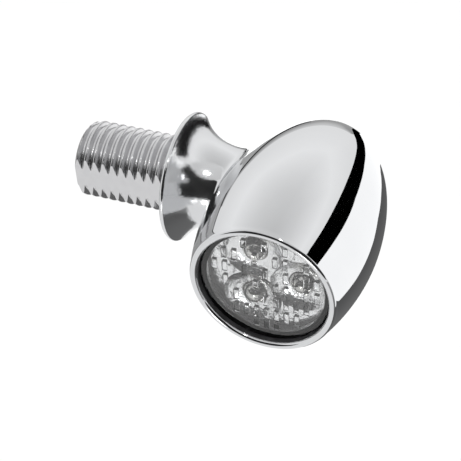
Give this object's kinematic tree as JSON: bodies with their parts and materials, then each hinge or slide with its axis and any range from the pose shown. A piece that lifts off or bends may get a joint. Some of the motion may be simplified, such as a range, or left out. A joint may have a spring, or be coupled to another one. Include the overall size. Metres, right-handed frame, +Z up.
{
  "type": "turn signal indicator",
  "caption": "Miniature LED turn signal: chromed bullet head with a clear prism lens on a flanged neck that swivels on a hollow threaded mounting stud.",
  "frame": {"origin": "centre of the flange's flat seat face, on the stem axis", "axes": "+X along the stem from the stud to the head, the lens faces -Y, +Z up"},
  "size_m": [0.0329, 0.0245, 0.017],
  "materials": {
    "chrome_plate": "polished bright chrome plating on a zinc casting",
    "stud_steel": "rolled thread, satin nickel plate",
    "clear_lens": "clear moulded polycarbonate",
    "black_rubber": "moulded nitrile rubber",
    "spring_steel": "oiled spring steel",
    "bronze": "rolled phosphor bronze",
    "metallised_reflector": "vacuum metallised plastic moulding",
    "led_package": "white moulded package",
    "led_silicone": "clear silicone dome",
    "board_aluminium": "white solder mask on an aluminium core",
    "screw_steel": "zinc plated",
    "thermal_pad": "soft filled silicone sheet",
    "spreader_aluminium": "turned",
    "gold_pin": "gold flashed",
    "board_laminate": "glass-epoxy laminate with green solder mask",
    "black_epoxy": "moulded epoxy",
    "ferrite": "sintered ferrite",
    "ceramic_body": "fired ceramic chip",
    "solder": "bright solder",
    "lead_red": "extruded PVC insulation",
    "lead_black": "extruded PVC insulation"
  },
  "bodies": {
    "stud": {"threaded_stud": "stud_steel", "cable_grommet": "black_rubber", "stud_o_ring": "black_rubber", "wave_washer": "spring_steel", "retaining_clip": "spring_steel"},
    "head": {"housing": "chrome_plate", "thrust_washer": "bronze", "lens": "clear_lens", "lens_seal": "black_rubber", "reflector": "metallised_reflector", "led_board": "board_aluminium", "led_body_1": "led_package", "led_body_2": "led_package", "led_body_3": "led_package", "led_dome_1": "led_silicone", "led_dome_2": "led_silicone", "led_dome_3": "led_silicone", "board_screw_1": "screw_steel", "board_screw_2": "screw_steel", "board_screw_3": "screw_steel", "thermal_pad": "thermal_pad", "heat_spreader": "spreader_aluminium", "board_pin_1": "gold_pin", "board_pin_2": "gold_pin", "driver_board": "board_laminate", "driver_ic": "black_epoxy", "inductor": "ferrite", "diode": "black_epoxy", "capacitor_1": "ceramic_body", "capacitor_2": "ceramic_body", "resistor_1": "black_epoxy", "resistor_2": "black_epoxy", "solder_joint_1": "solder", "solder_joint_2": "solder", "lead_positive": "lead_red", "lead_ground": "lead_black"}
  },
  "joints": [
    {"name": "head_swivel", "type": "hinge", "parent": "stud", "child": "head", "pos_m": [0, 0, 0], "axis": [1, 0, 0], "range_deg": [-90, 90], "deforming": ["lead_positive", "lead_ground"]}
  ]
}
